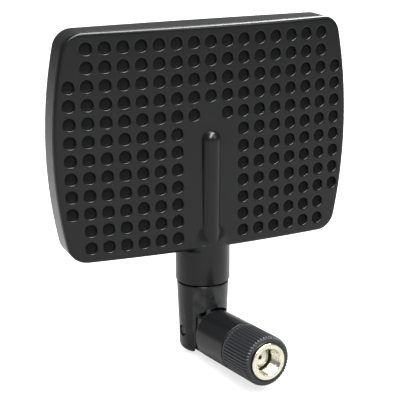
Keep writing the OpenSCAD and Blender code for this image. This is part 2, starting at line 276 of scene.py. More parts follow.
FLOAT = "NodeSocketFloat"
COLOUR = "NodeSocketColor"
VECTOR = "NodeSocketVector"
SHAPE = "NodeSocketGeometry"

# ---- shared surface effects


def moulded_grain_group():
    """Fine spark-eroded texture of a moulding, with slow drifts of tone and gloss."""
    tree, a, b = group_tree(
        "moulded_grain",
        "ShaderNodeTree",
        [
            ("Vector", VECTOR, None),
            ("Grain per metre", FLOAT, 5000.0),
            ("Drift", FLOAT, 0.1),
            ("Base", COLOUR, (0.02, 0.02, 0.02, 1)),
            ("Gloss", FLOAT, 0.4),
            ("Gloss spread", FLOAT, 0.08),
        ],
        [("Color", COLOUR), ("Roughness", FLOAT), ("Height", FLOAT)],
    )
    vector = a.outputs["Vector"]
    fine = add(
        tree,
        "ShaderNodeTexNoise",
        {"Vector": vector, "Scale": a.outputs["Grain per metre"], "Detail": 3.0, "Roughness": 0.6},
    )
    pits = add(
        tree,
        "ShaderNodeTexVoronoi",
        {
            "Vector": vector,
            "Scale": maths(tree, "MULTIPLY", a.outputs["Grain per metre"], 0.55),
            "Randomness": 1.0,
        },
    )
    slow = add(tree, "ShaderNodeTexNoise", {"Vector": vector, "Scale": 55.0, "Detail": 4.0})
    drift = maths(tree, "SUBTRACT", slow.outputs[0], 0.5)
    height = maths(tree, "MULTIPLY_ADD", pits.outputs["Distance"], 0.6, fine.outputs[0])
    tone = maths(tree, "MULTIPLY_ADD", drift, a.outputs["Drift"], 1.0)
    speck = maths(tree, "MULTIPLY_ADD", maths(tree, "SUBTRACT", fine.outputs[0], 0.5), 0.5, tone)
    colour = add(tree, "ShaderNodeVectorMath", {0: a.outputs["Base"], "Scale": speck}, operation="SCALE")
    rough = maths(tree, "MULTIPLY_ADD", drift, a.outputs["Gloss spread"], a.outputs["Gloss"])
    put_out(tree, b, Color=colour.outputs[0], Roughness=rough, Height=height)
    return tree


def worn_edges_group():
    """Outer edges rubbed paler and smoother, broken up by a noise."""
    tree, a, b = group_tree(
        "worn_edges",
        "ShaderNodeTree",
        [
            ("Vector", VECTOR, None),
            ("Color", COLOUR, (0.02, 0.02, 0.02, 1)),
            ("Worn color", COLOUR, (0.1, 0.1, 0.1, 1)),
            ("Roughness", FLOAT, 0.4),
            ("Worn roughness", FLOAT, 0.3),
            ("Amount", FLOAT, 0.5),
        ],
        [("Color", COLOUR), ("Roughness", FLOAT), ("Mask", FLOAT)],
    )
    geometry = add(tree, "ShaderNodeNewGeometry")
    edge = add(
        tree,
        "ShaderNodeMapRange",
        {"Value": geometry.outputs["Pointiness"], "From Min": 0.52, "From Max": 0.62},
        interpolation_type="SMOOTHSTEP",
    )
    patchy = add(tree, "ShaderNodeTexNoise", {"Vector": a.outputs["Vector"], "Scale": 420.0, "Detail": 5.0})
    broken = add(
        tree,
        "ShaderNodeMapRange",
        {"Value": patchy.outputs[0], "From Min": 0.35, "From Max": 0.65},
    )
    mask = maths(tree, "MULTIPLY", edge.outputs[0], broken.outputs[0])
    mask = maths(tree, "MULTIPLY", mask, a.outputs["Amount"], clamp=True)
    colour = mix(tree, mask, a.outputs["Color"], a.outputs["Worn color"], "RGBA")
    rough = mix(tree, mask, a.outputs["Roughness"], a.outputs["Worn roughness"])
    put_out(tree, b, Color=colour, Roughness=rough, Mask=mask)
    return tree


def tool_marks_group():
    """Rings left by turning, read along the part's own Z axis."""
    tree, a, b = group_tree(
        "tool_marks",
        "ShaderNodeTree",
        [
            ("Vector", VECTOR, None),
            ("Rings per metre", FLOAT, 9000.0),
            ("Base", COLOUR, (0.7, 0.68, 0.62, 1)),
            ("Tarnish", COLOUR, (0.45, 0.4, 0.32, 1)),
            ("Gloss", FLOAT, 0.25),
        ],
        [("Color", COLOUR), ("Roughness", FLOAT), ("Height", FLOAT)],
    )
    split = add(tree, "ShaderNodeSeparateXYZ", {"Vector": a.outputs["Vector"]})
    radius = maths(
        tree,
        "SQRT",
        maths(
            tree,
            "ADD",
            maths(tree, "MULTIPLY", split.outputs["X"], split.outputs["X"]),
            maths(tree, "MULTIPLY", split.outputs["Y"], split.outputs["Y"]),
        ),
    )
    ring_place = add(tree, "ShaderNodeCombineXYZ", {"X": radius, "Y": split.outputs["Z"]})
    rings = add(
        tree,
        "ShaderNodeTexNoise",
        {"Vector": ring_place.outputs[0], "Scale": a.outputs["Rings per metre"], "Detail": 2.0},
    )
    cloud = add(tree, "ShaderNodeTexNoise", {"Vector": a.outputs["Vector"], "Scale": 350.0, "Detail": 6.0})
    stain = add(
        tree,
        "ShaderNodeMapRange",
        {"Value": cloud.outputs[0], "From Min": 0.45, "From Max": 0.8},
        interpolation_type="SMOOTHSTEP",
    )
    share = maths(tree, "MULTIPLY", stain.outputs[0], 0.5)
    colour = mix(tree, share, a.outputs["Base"], a.outputs["Tarnish"], "RGBA")
    rough = maths(tree, "MULTIPLY_ADD", cloud.outputs[0], 0.16, a.outputs["Gloss"])
    put_out(tree, b, Color=colour, Roughness=rough, Height=rings.outputs[0])
    return tree


GRAIN = moulded_grain_group()
WEAR = worn_edges_group()
MARKS = tool_marks_group()

# ---- materials

# how deep the textures go, in metres, and how far a metal's edges are rubbed
GRAIN_DEPTH = 0.00004
MARK_DEPTH = 0.00002
METAL_WEAR = 0.6


def new_material(name):
    material = bpy.data.materials.new(name)
    material.use_nodes = True
    tree = material.node_tree
    tree.nodes.clear()
    output = tree.nodes.new("ShaderNodeOutputMaterial")
    surface = tree.nodes.new("ShaderNodeBsdfPrincipled")
    tree.links.new(surface.outputs[0], output.inputs["Surface"])
    place = tree.nodes.new("ShaderNodeTexCoord").outputs["Object"]
    return material, tree, surface, place


def use(tree, group, **inputs):
    made = tree.nodes.new("ShaderNodeGroup")
    made.node_tree = group
    for key, value in inputs.items():
        feed(tree, made.inputs[key.replace("_", " ")], value)
    return made


def rub_and_raise(tree, surface, place, skin, worn, worn_rough, amount, bump, depth):
    """Rubs a skin's edges, raises its texture and gives both to the shader."""
    rubbed = use(
        tree,
        WEAR,
        Vector=place,
        Color=skin.outputs["Color"],
        Worn_color=(*worn, 1),
        Roughness=skin.outputs["Roughness"],
        Worn_roughness=worn_rough,
        Amount=amount,
    )
    relief = {"Height": skin.outputs["Height"], "Strength": bump, "Distance": depth}
    raised = add(tree, "ShaderNodeBump", relief)
    tree.links.new(rubbed.outputs["Color"], surface.inputs["Base Color"])
    tree.links.new(rubbed.outputs["Roughness"], surface.inputs["Roughness"])
    tree.links.new(raised.outputs[0], surface.inputs["Normal"])


def moulded(name, base, worn, gloss, grain, bump, specular=0.5, wear=0.4, drift=0.25):
    """A moulded plastic or rubber: grain, drifts of tone, rubbed edges."""
    material, tree, surface, place = new_material(name)
    skin = use(tree, GRAIN, Vector=place, Grain_per_metre=grain, Drift=drift, Base=(*base, 1), Gloss=gloss)
    rub_and_raise(tree, surface, place, skin, worn, gloss * 0.8, wear, bump, GRAIN_DEPTH)
    surface.inputs["Specular IOR Level"].default_value = specular
    return material


def metal(name, base, tarnish, gloss, turned=None, bump=0.15):
    """A bare or plated metal; "turned" is the matrix of a part turned on a lathe."""
    material, tree, surface, place = new_material(name)
    if turned is not None:
        back = turned.inverted()
        mapping = add(tree, "ShaderNodeMapping", {"Vector": place}, vector_type="POINT")
        rotation = back.to_3x3().normalized().to_euler("XYZ")
        mapping.inputs["Rotation"].default_value = rotation
        moved = rotation.to_matrix() @ turned.translation
        mapping.inputs["Location"].default_value = -moved
        place = mapping.outputs[0]
    skin = use(tree, MARKS, Vector=place, Base=(*base, 1), Tarnish=(*tarnish, 1), Gloss=gloss)
    bright = [min(1, c * 1.15) for c in base]
    rub_and_raise(tree, surface, place, skin, bright, gloss * 0.7, METAL_WEAR, bump, MARK_DEPTH)
    surface.inputs["Metallic"].default_value = 1.0
    return material


shell_plastic = moulded(
    "satin_charcoal_shell",
    base=(0.003, 0.0032, 0.0031),
    worn=(0.03, 0.03, 0.03),
    gloss=0.25,
    grain=4200.0,
    bump=0.06,
    specular=0.22,
    wear=0.08,
)
# a darker, less glossy plastic for the dimple floors and lower walls: painted shade in the recesses
dimple_shade_plastic = moulded(
    "dull_dimple_floor",
    base=(0.0025, 0.0026, 0.0025),
    worn=(0.01, 0.01, 0.01),
    gloss=0.6,
    grain=4200.0,
    bump=0.3,
    specular=0.08,
)
joint_plastic = moulded(
    "smooth_charcoal_joint",
    base=(0.0035, 0.0037, 0.0039),
    worn=(0.03, 0.03, 0.03),
    gloss=0.25,
    grain=6500.0,
    bump=0.08,
    specular=0.22,
)
sleeve_plastic = moulded(
    "blue_black_grip",
    base=(0.009, 0.0102, 0.0115),
    worn=(0.04, 0.042, 0.045),
    gloss=0.36,
    grain=6500.0,
    bump=0.15,
    specular=0.3,
)
nylon = moulded("natural_nylon", (0.68, 0.65, 0.56), (0.75, 0.73, 0.66), 0.5, 3000.0, 0.2, drift=0.12)
ptfe = moulded("white_ptfe", (0.8, 0.8, 0.77), (0.85, 0.85, 0.83), 0.35, 2500.0, 0.12, drift=0.08)
lead_jacket = moulded("black_lead_jacket", (0.009, 0.009, 0.009), (0.02, 0.02, 0.02), 0.3, 1500.0, 0.1)
ring_rubber = moulded("soft_black_rubber", (0.015, 0.015, 0.015), (0.03, 0.03, 0.03), 0.75, 3500.0, 0.4)
nickel = metal("bright_nickel", (0.58, 0.56, 0.455), (0.4, 0.34, 0.23), 0.17, turned=IN_ARM)
gold = metal("gold_flashed_brass", (0.83, 0.62, 0.27), (0.55, 0.38, 0.16), 0.18, turned=IN_ARM)
copper = metal("rolled_copper", (0.75, 0.41, 0.27), (0.42, 0.2, 0.12), 0.28)
aluminium = metal("mill_aluminium", (0.72, 0.73, 0.75), (0.5, 0.5, 0.52), 0.34)
spring_steel = metal(
    "blackened_spring_steel", (0.055, 0.055, 0.058), (0.03, 0.028, 0.026), 0.32, turned=IN_YOKE
)

# ---- mesh helpers


def arc(cx, cy, r, a0, a1, steps):
    """Points of an arc, angles in degrees, both ends in."""
    turns = [math.radians(a0 + (a1 - a0) * k / steps) for k in range(steps + 1)]
    return [(cx + r * math.cos(t), cy + r * math.sin(t)) for t in turns]


def span(a, b, steps):
    """Points between a and b, both ends left out."""
    return [(a[0] + (b[0] - a[0]) * k / steps, a[1] + (b[1] - a[1]) * k / steps) for k in range(1, steps)]


def rounded(points, steps=4):
    """A closed outline of (r, z, fillet) corners turned into (r, z) points."""
    out = []
    n = len(points)
    for i, (r, z, fillet) in enumerate(points):
        here = Vector((r, z))
        if fillet <= 0:
            out.append((r, z))
            continue
        before = Vector(points[i - 1][:2]) - here
        after = Vector(points[(i + 1) % n][:2]) - here
        u, v = before.normalized(), after.normalized()
        half = math.acos(max(-1, min(1, u.dot(v)))) / 2
        reach = fillet / math.tan(half)
        centre = here + (u + v).normalized() * (fillet / math.sin(half))
        start, end = here + u * reach - centre, here + v * reach - centre
        sweep = start.angle_signed(end)
        for k in range(steps + 1):
            p = start.copy()
            p.rotate(Matrix.Rotation(-sweep * k / steps, 2))
            out.append(tuple(centre + p))
    return out


def groove(r, floor, low, high):
    """Corners of a square groove in a turned outline that runs upwards."""
    return [(r, low, 0), (floor, low, 0), (floor, high, 0), (r, high, 0)]


def lathe(bm, outline, segments=96):
    """Turns a closed (r, z) outline about Z."""
    columns = []
    poles = {}
    for s in range(segments):
        turn = 2 * math.pi * s / segments
        column = []
        for i, (r, z) in enumerate(outline):
            if r < 1e-6:
                if i not in poles:
                    poles[i] = bm.verts.new((0, 0, z))
                column.append(poles[i])
            else:
                column.append(bm.verts.new((r * math.cos(turn), r * math.sin(turn), z)))
        columns.append(column)
    n = len(outline)
    for s in range(segments):
        a, b = columns[s], columns[(s + 1) % segments]
        for i in range(n):
            j = (i + 1) % n
            corners = []
            for v in (a[i], b[i], b[j], a[j]):
                if v not in corners:
                    corners.append(v)
            if len(corners) > 2:
                bm.faces.new(corners)


def box_in(bm, low, high):
    made = bmesh.ops.create_cube(bm, size=1)["verts"]
    low, high = Vector(low), Vector(high)
    for v in made:
        v.co = Vector([low[k] + (v.co[k] + 0.5) * (high[k] - low[k]) for k in range(3)])


def rod_in(bm, axis, r, a, b, centre=(0, 0), segments=64):
    """A round bar along X, Y or Z from a to b; "centre" is its place on the other two axes."""
    ends = bmesh.ops.create_cone(
        bm, cap_ends=True, segments=segments, radius1=r, radius2=r, depth=b - a
    )["verts"]
    turn = {"X": Matrix.Rotation(math.pi / 2, 3, "Y"), "Y": Matrix.Rotation(-math.pi / 2, 3, "X")}.get(axis)
    for v in ends:
        if turn:
            v.co = turn @ v.co
        middle = (a + b) / 2
        if axis == "X":
            v.co += Vector((middle, centre[0], centre[1]))
        elif axis == "Y":
            v.co += Vector((centre[0], middle, centre[1]))
        else:
            v.co += Vector((centre[0], centre[1], middle))


def tidy(bm):
    bmesh.ops.remove_doubles(bm, verts=bm.verts, dist=1e-5)
    bmesh.ops.recalc_face_normals(bm, faces=bm.faces)


def mesh_object(name, bm):
    mesh = bpy.data.meshes.new(name)
    bm.to_mesh(mesh)
    bm.free()
    made = bpy.data.objects.new(name, mesh)
    bpy.context.scene.collection.objects.link(made)
    return made


def build(name, maker, clean=True):
    """An object in its part's own millimetres, from a function that fills a bmesh."""
    bm = bmesh.new()
    maker(bm)
    if clean:
        tidy(bm)
    return mesh_object(name, bm)


def settle(made):
    """Replaces an object's mesh by what its modifiers make of it."""
    bpy.context.view_layer.update()
    evaluated = made.evaluated_get(bpy.context.evaluated_depsgraph_get())
    mesh = bpy.data.meshes.new_from_object(evaluated)
    made.modifiers.clear()
    old = made.data
    made.data = mesh
    bpy.data.meshes.remove(old)


def combine(base, other, operation):
    """A true boolean of two closed objects; the second one is used up."""
    step = base.modifiers.new("cut", "BOOLEAN")
    step.operation = operation
    step.solver = "EXACT"
    step.object = other
    settle(base)
    bpy.data.objects.remove(other)


def block(low, high):
    return build("block", lambda bm: box_in(bm, low, high))


def rod(axis, r, a, b, centre=(0, 0), segments=64):
    return build("rod", lambda bm: rod_in(bm, axis, r, a, b, centre, segments))


def drill(made, axis, r, a, b, segments=64):
    """Cuts a round hole along an axis through the part's origin."""
    combine(made, rod(axis, r, a, b, segments=segments), "DIFFERENCE")


def cut_box(made, low, high):
    combine(made, block(low, high), "DIFFERENCE")


def bevel(made, width, segments=2, angle=40):
    step = made.modifiers.new("edge", "BEVEL")
    step.width = width
    step.segments = segments
    step.limit_method = "ANGLE"
    step.angle_limit = math.radians(angle)
    step.miter_outer = "MITER_ARC"
    settle(made)


def run_nodes(made, tree, **values):
    """Puts a Geometry Nodes tree on an object with named inputs and keeps its result."""
    step = made.modifiers.new(tree.name, "NODES")
    step.node_group = tree
    for item in tree.interface.items_tree:
        key = item.name.replace(" ", "_")
        if item.in_out == "INPUT" and key in values:
            step[item.identifier] = values[key]
    made.update_tag()
    settle(made)


def finished(made, place, material, body, slot, *nodes, sharp=50, even=True):
    """Moves a piece to its place, shades it, hangs it on its body and hides the nodes it stands for; the
    slot is not used.
    """
    made.data.transform(place)
    made.data.materials.clear()
    made.data.materials.append(material)
    made.data.shade_smooth()
    made.data.set_sharp_from_angle(angle=math.radians(sharp))
    if even:
        step = made.modifiers.new("even", "WEIGHTED_NORMAL")
        step.keep_sharp = True
        step.weight = 60
        settle(made)
    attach(made, body)
    if nodes:
        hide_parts(*nodes)
    return made


# ---- repeated shapes


def dress_and_end(tree, start, end, shape):
    """Gives a shape its finish and sends it out of the tree."""
    real = add(tree, "GeometryNodeRealizeInstances", {"Geometry": shape})
    inputs = {"Geometry": real.outputs[0], "Material": start.outputs["Finish"]}
    dressed = add(tree, "GeometryNodeSetMaterial", inputs)
    tree.links.new(dressed.outputs[0], end.inputs["Geometry"])
    return tree


def dimple_field_tree():
    """Sets a cup at each marked point of a flat sheet, welds it in and bends the sheet."""
    tree, a, b = group_tree(
        "dimple_field",
        "GeometryNodeTree",
        [
            ("Geometry", SHAPE, None),
            ("Cup", "NodeSocketObject", None),
            ("Weld", FLOAT, 0.01),
            ("Face radius", FLOAT, FACE_R),
            ("Finish", "NodeSocketMaterial", None),
        ],
        [("Geometry", SHAPE)],
    )
    mark = add(tree, "GeometryNodeInputNamedAttribute", {"Name": "cup_here"}, data_type="BOOLEAN")
    apart = add(
        tree,
        "GeometryNodeSeparateGeometry",
        {"Geometry": a.outputs["Geometry"], "Selection": mark.outputs["Attribute"]},
        domain="POINT",
    )
    points = add(tree, "GeometryNodeMeshToPoints", {"Mesh": apart.outputs["Selection"]})
    cup = add(tree, "GeometryNodeObjectInfo", {"Object": a.outputs["Cup"], "As Instance": True})
    placed = add(
        tree,
        "GeometryNodeInstanceOnPoints",
        {"Points": points.outputs["Points"], "Instance": cup.outputs["Geometry"]},
    )
    real = add(tree, "GeometryNodeRealizeInstances", {"Geometry": placed.outputs[0]})
    both = tree.nodes.new("GeometryNodeJoinGeometry")
    tree.links.new(real.outputs[0], both.inputs[0])
    tree.links.new(apart.outputs["Inverted"], both.inputs[0])
    weld = add(
        tree,
        "GeometryNodeMergeByDistance",
        {"Geometry": both.outputs[0], "Distance": a.outputs["Weld"]},
    )
    place = add(tree, "GeometryNodeInputPosition")
    split = add(tree, "ShaderNodeSeparateXYZ", {"Vector": place.outputs[0]})
    square = maths(tree, "MULTIPLY", split.outputs["X"], split.outputs["X"])
    lift = maths(tree, "DIVIDE", square, maths(tree, "MULTIPLY", a.outputs["Face radius"], 2.0))
    moved = add(tree, "ShaderNodeCombineXYZ", {"Y": lift})
    bent = add(tree, "GeometryNodeSetPosition", {"Geometry": weld.outputs[0], "Offset": moved.outputs[0]})
    return dress_and_end(tree, a, b, bent.outputs[0])


def cut_round_tree():
    """Cuts ribs or a thread into a turned surface: marked points move by a wave round the axis."""
    tree, a, b = group_tree(
        "cut_round_axis",
        "GeometryNodeTree",
        [
            ("Geometry", SHAPE, None),
            ("Starts", FLOAT, 48.0),
            ("Turns per height", FLOAT, 0.0),
            ("Depth", FLOAT, 0.3),
            ("Flank low", FLOAT, 0.2),
            ("Flank high", FLOAT, 0.6),
            ("Finish", "NodeSocketMaterial", None),
        ],
        [("Geometry", SHAPE)],
    )
    place = add(tree, "GeometryNodeInputPosition")
    split = add(tree, "ShaderNodeSeparateXYZ", {"Vector": place.outputs[0]})
    angle = maths(tree, "ARCTAN2", split.outputs["Y"], split.outputs["X"])
    around = maths(tree, "MULTIPLY", maths(tree, "DIVIDE", angle, 2 * math.pi), a.outputs["Starts"])
    along = maths(tree, "MULTIPLY", split.outputs["Z"], a.outputs["Turns per height"])
    phase = maths(tree, "ADD", around, along)
    wave = maths(tree, "MULTIPLY", maths(tree, "PINGPONG", phase, 0.5), 2.0)
    shaped = add(
        tree,
        "ShaderNodeMapRange",
        {"Value": wave, "From Min": a.outputs["Flank low"], "From Max": a.outputs["Flank high"]},
        interpolation_type="SMOOTHSTEP",
    )
    mask = add(tree, "GeometryNodeInputNamedAttribute", {"Name": "cut"}, data_type="FLOAT")
    masked = maths(tree, "MULTIPLY", shaped.outputs[0], mask.outputs["Attribute"])
    reach = maths(tree, "MULTIPLY", masked, a.outputs["Depth"])
    outward = add(tree, "ShaderNodeCombineXYZ", {"X": split.outputs["X"], "Y": split.outputs["Y"]})
    unit = add(tree, "ShaderNodeVectorMath", {0: outward.outputs[0]}, operation="NORMALIZE")
    inward = maths(tree, "MULTIPLY", reach, -1.0)
    push = add(tree, "ShaderNodeVectorMath", {0: unit.outputs[0], "Scale": inward}, operation="SCALE")
    cut = add(
        tree,
        "GeometryNodeSetPosition",
        {"Geometry": a.outputs["Geometry"], "Offset": push.outputs[0]},
    )
    return dress_and_end(tree, a, b, cut.outputs[0])


DIMPLE_FIELD = dimple_field_tree()
CUT_ROUND = cut_round_tree()

# ---- the panel's shells

SIDE_STEPS = 36
EDGE_STEPS = 36
CORNER_STEPS = 10


def panel_outline(inset):
    """The panel's outline drawn in by "inset", always with the same number of points."""
    w, h = PANEL_W / 2 - inset, PANEL_H / 2 - inset
    big, small = SIDE_R - inset, CORNER_R - inset
    turn = math.asin((h - small) / (big - small))
    cx = w - big + (big - small) * math.cos(turn)
    cz = h - small
    t = math.degrees(turn)
    points = arc(w - big, 0, big, -t, t, SIDE_STEPS)
    points += arc(cx, cz, small, t, 90, CORNER_STEPS)[1:]
    points += span((cx, h), (-cx, h), EDGE_STEPS)
    points += arc(-cx, cz, small, 90, 180 - t, CORNER_STEPS)
    points += arc(big - w, 0, big, 180 - t, 180 + t, SIDE_STEPS)[1:]
    points += arc(-cx, -cz, small, 180 + t, 270, CORNER_STEPS)[1:]
    points += span((-cx, -h), (cx, -h), EDGE_STEPS)
    points += arc(cx, -cz, small, 270, 360 - t, CORNER_STEPS)[:-1]
    return points


def loops_to_faces(bm, loops):
    for low, high in zip(loops, loops[1:]):
        n = len(low)
        for i in range(n):
            j = (i + 1) % n
            bm.faces.new((low[i], low[j], high[j], high[i]))


def panel_loop(bm, inset, y_of):
    return [bm.verts.new((x, y_of(x, z), z)) for x, z in panel_outline(inset)]


def inside(x, z, inset):
    """True if a point is within the panel's outline drawn in by "inset"."""
    w, h = PANEL_W / 2 - inset, PANEL_H / 2 - inset
    big = SIDE_R - inset
    if abs(z) > h or abs(x) > w - big + math.sqrt(big * big - z * z):
        return False
    small = CORNER_R - inset
    turn = math.asin((h - small) / (big - small))
    cx = w - big + (big - small) * math.cos(turn)
    if abs(x) > cx and abs(z) > h - small:
        return math.hypot(abs(x) - cx, abs(z) - h + small) < small
    return True


def filled(bm, border, spots, y_of, holes=()):
    """Fills a loop of vertices with triangles through extra points, round holes left open."""
    flat = [(v.co.x, v.co.z) for v in border]
    edges = [(i, (i + 1) % len(border)) for i in range(len(border))]
    for cx, cz, r, sides in holes:
        first = len(flat)
        flat += arc(cx, cz, r, 0, 360 - 360 / sides, sides - 1)
        edges += [(first + k, first + (k + 1) % sides) for k in range(sides)]
    flat += spots
    points, _, faces, origins, _, _ = delaunay_2d_cdt([Vector(p) for p in flat], edges, [], 1, 1e-6)
    verts = []
    for p, source in zip(points, origins):
        known = [s for s in source if s < len(border)]
        verts.append(border[known[0]] if known else bm.verts.new((p.x, y_of(p.x, p.y), p.y)))
    for face in faces:
        mid = sum((points[i] for i in face), Vector((0, 0))) / len(face)
        if any(math.hypot(mid.x - cx, mid.y - cz) < r * 0.98 for cx, cz, r, _ in holes):
            continue
        bm.faces.new([verts[i] for i in face])


def dimple_centres():
    for c in range(1, COLUMNS + 1):
        for r in range(1, ROWS + 1):
            off = abs(c - MIDDLE)
            if c in (1, COLUMNS) and not 3 <= r <= ROWS - 2:
                continue
            if (off == 0 and r > 4) or (off == 1 and r > 5):
                continue
            yield (c - MIDDLE) * PITCH, ((ROWS + 1) / 2 - r) * PITCH


def smooth_max(a, b, k):
    return max(a, b) + max(k - abs(a - b), 0) ** 2 / (4 * k)


def ease(a, b, t):
    t = max(0.0, min(1.0, t))
    return a + (b - a) * t * t * (3 - 2 * t)


def neck_rise(x, z):
    """How far the top of the neck swells the rear face."""
    climb = max(0.0, z + PANEL_H / 2 - 1.0)
    swell = math.sqrt(max(0.0, NECK_R**2 - x * x)) - NECK_Y - NECK_SINK - climb * climb / 16
    return max(0.0, smooth_max(swell, 0.0, 0.9))


# the finely divided strip of the face where the neck swells it
STRIP_W = 6.2
STRIP_TOP = -16.0
STRIP_STEP = 0.4


def rear_sheet(bm):
    """The rear cover as if its face were flat, with a marked point at each dimple."""
    f = REAR_FILLET

    def level(depth):
        left = max(0.0, 1 - depth / f)
        return lambda x, z: depth - left * neck_rise(x, z)

    outer = [panel_loop(bm, f + 0.3, level(0))]
    for k in range(6):
        a = math.radians(18 * k)
        outer.append(panel_loop(bm, f * (1 - math.sin(a)), level(f * (1 - math.cos(a)))))
    outer.append(panel_loop(bm, SEAM_CUT * 0.3, level(EDGE_T - SEAM_CUT * 0.4)))
    outer.append(panel_loop(bm, SEAM_CUT, level(EDGE_T)))
    outer.append(panel_loop(bm, SHELL_T + SHELL_PLAY, level(EDGE_T + 0.05)))
    outer.append(panel_loop(bm, SHELL_T + 1.5 * SHELL_PLAY, level(COVER_T)))
    loops_to_faces(bm, outer)

    centres = list(dimple_centres())
    spots = []
    for i in range(2 * COLUMNS + 1):
        for j in range(2 * ROWS + 1):
            spots.append(((i - COLUMNS) * PITCH / 2, (j - ROWS) * PITCH / 2))
    spots = [p for p in spots if abs(p[0]) > STRIP_W or p[1] > STRIP_TOP]
    n = int(STRIP_W / STRIP_STEP)
    rows = int((STRIP_TOP + PANEL_H / 2 - 1.4) / STRIP_STEP)
    for i in range(-n, n + 1):
        for j in range(rows):
            spots.append((i * STRIP_STEP, STRIP_TOP - j * STRIP_STEP))

    def is_free(x, z):
        clear = DIMPLE_SKIRT + 0.2
        return inside(x, z, f + 0.55) and all(math.hypot(x - cx, z - cz) > clear for cx, cz in centres)

    spots = [p for p in spots if is_free(*p)]
    holes = [(x, z, DIMPLE_SKIRT, DIMPLE_SIDES) for x, z in centres]
    filled(bm, outer[0], spots, level(0), holes)

    inner_spots = [(x * PITCH, z * PITCH) for x in range(-8, 9) for z in range(-6, 7)]
    inner_spots = [p for p in inner_spots if inside(*p, SHELL_T + 0.8)]
    filled(bm, outer[-1], inner_spots, level(COVER_T))
    bmesh.ops.recalc_face_normals(bm, faces=bm.faces)
    mark = bm.verts.layers.bool.new("cup_here")
    for x, z in centres:
        spot = bm.verts.new((x, 0, z))
        spot[mark] = True


def dimple_cup(bm):
    """One dimple: skirt, rounded lip, wall and flat floor; its floor and lower wall carry a mark for
    painted shade.
    """
    r, d, lip = DIMPLE_R, DIMPLE_DEPTH, DIMPLE_LIP
    rings = [(DIMPLE_SKIRT, 0.0, 0.0)]
    rings += [(r + lip - lip * math.sin(t), lip - lip * math.cos(t), 0.0) for t in (0.05, 0.6, 1.1)]
    rings += [(r, lip, 0.0), (r - 0.04, d - 0.3, 0.0), (r - 0.06, d - 0.25, 1.0)]
    rings += [(r - 0.1, d - 0.07, 1.0), (r - 0.25, d, 1.0), (r * 0.45, d, 1.0)]
    shade = bm.verts.layers.float.new("in_dimple")
    loops = []
    for radius, depth, dark in rings:
        loop = []
        for x, z in arc(0, 0, radius, 0, 360 - 360 / DIMPLE_SIDES, DIMPLE_SIDES - 1):
            v = bm.verts.new((x, depth, z))
            v[shade] = dark
            loop.append(v)
        loops.append(loop)
    loops_to_faces(bm, loops)
    floor = bm.faces.new(loops[-1])
    floor.normal_update()
    if floor.normal.y > 0:
        for face in bm.faces:
            face.normal_flip()


def spine_bar(bm):
    """The round-ended spine, leaning a little so that it runs out level with the neck."""
    low = NECK_LOW - PANEL_H / 2
    r = SPINE_R
    outline = [(0, low), (r, low)] + [(r, low * (1 - k / 12)) for k in range(1, 12)]
    outline += arc(0, 0, r, 0, 90, 16)
    lathe(bm, [(0 if abs(x) < 1e-6 else x, z) for x, z in outline], 96)
    lean = (SPINE_HEIGHT - NECK_R + NECK_Y + 0.04) / (PANEL_H / 2 - 1.4)
    for v in bm.verts:
        v.co.y = min(v.co.y, 0.9) + r - SPINE_HEIGHT - lean * min(0.0, v.co.z)


def neck_tube(bm):
    """The neck with its bore; its shoulder shows under the panel, but runs into the spine at the back."""
    shoulder = NECK_R - NECK_GROOVE
    outline = [(NECK_BORE_R, -NECK_LEN + 0.2), (NECK_BORE_R + 0.2, -NECK_LEN)]
    outline += arc(NECK_R - 0.25, -NECK_LEN + 0.25, 0.25, -90, 0, 4)
    outline += [(NECK_R, -4), (NECK_R, -0.9)]
    outline += [(NECK_R - NECK_GROOVE * k, -0.42 + 0.3 * k) for k in (0.08, 0.3, 0.65, 1.0)]
    outline += [(shoulder, z) for z in (0.1, 0.9, 1.26, 1.3)]
    outline += arc(NECK_R - 2.0, 1.4, 1.5, 10, 90, 7)
    pocket = BUSH_HIGH + HINGE_Z + PANEL_H / 2
    pocket_top = pocket + CLIP_POCKET
    outline += [(LEAD_HOLE_R, NECK_INSIDE), (LEAD_HOLE_R, pocket_top), (CLIP_BORE_R, pocket_top)]
    outline += [(CLIP_BORE_R, pocket), (NECK_BORE_R, pocket)]
    lathe(bm, outline, 160)
    for v in bm.verts:
        radius = math.hypot(v.co.x, v.co.y)
        if v.co.z > -0.5 and radius > NECK_R - 1.0 and v.co.y < 0:
            joined = 1 - ease(0, 1, (abs(v.co.x) - 2.6) / 1.8) if v.co.x < 0 else 1.0
            full = NECK_R - 0.12 * max(0.0, v.co.z - 0.6) ** 2 if v.co.z < 1.35 else radius
            grown = radius + (full - radius) * joined
            v.co.x *= grown / radius
            v.co.y *= grown / radius
        v.co += Vector((0, NECK_Y, -PANEL_H / 2))


def rear_cover():
    sheet = build("rear_cover_moulding", rear_sheet, clean=False)
    cup = build("dimple_cup", dimple_cup, clean=False)
    run_nodes(sheet, DIMPLE_FIELD, Cup=cup, Weld=0.01, Face_radius=FACE_R, Finish=shell_plastic)
    bpy.data.objects.remove(cup)
    combine(sheet, build("spine", spine_bar), "UNION")
    combine(sheet, build("neck", neck_tube), "UNION")
    finished(sheet, IN_PANEL, shell_plastic, "panel", "shell_plastic", "rear_cover", even=False)
    # the dimple floors and lower walls take the darker plastic, as painted shade in the recesses
    sheet.data.materials.append(dimple_shade_plastic)
    shade_marks = sheet.data.attributes["in_dimple"].data
    for face in sheet.data.polygons:
        if all(shade_marks[v].value > 0.9 for v in face.vertices):
            face.material_index = 1


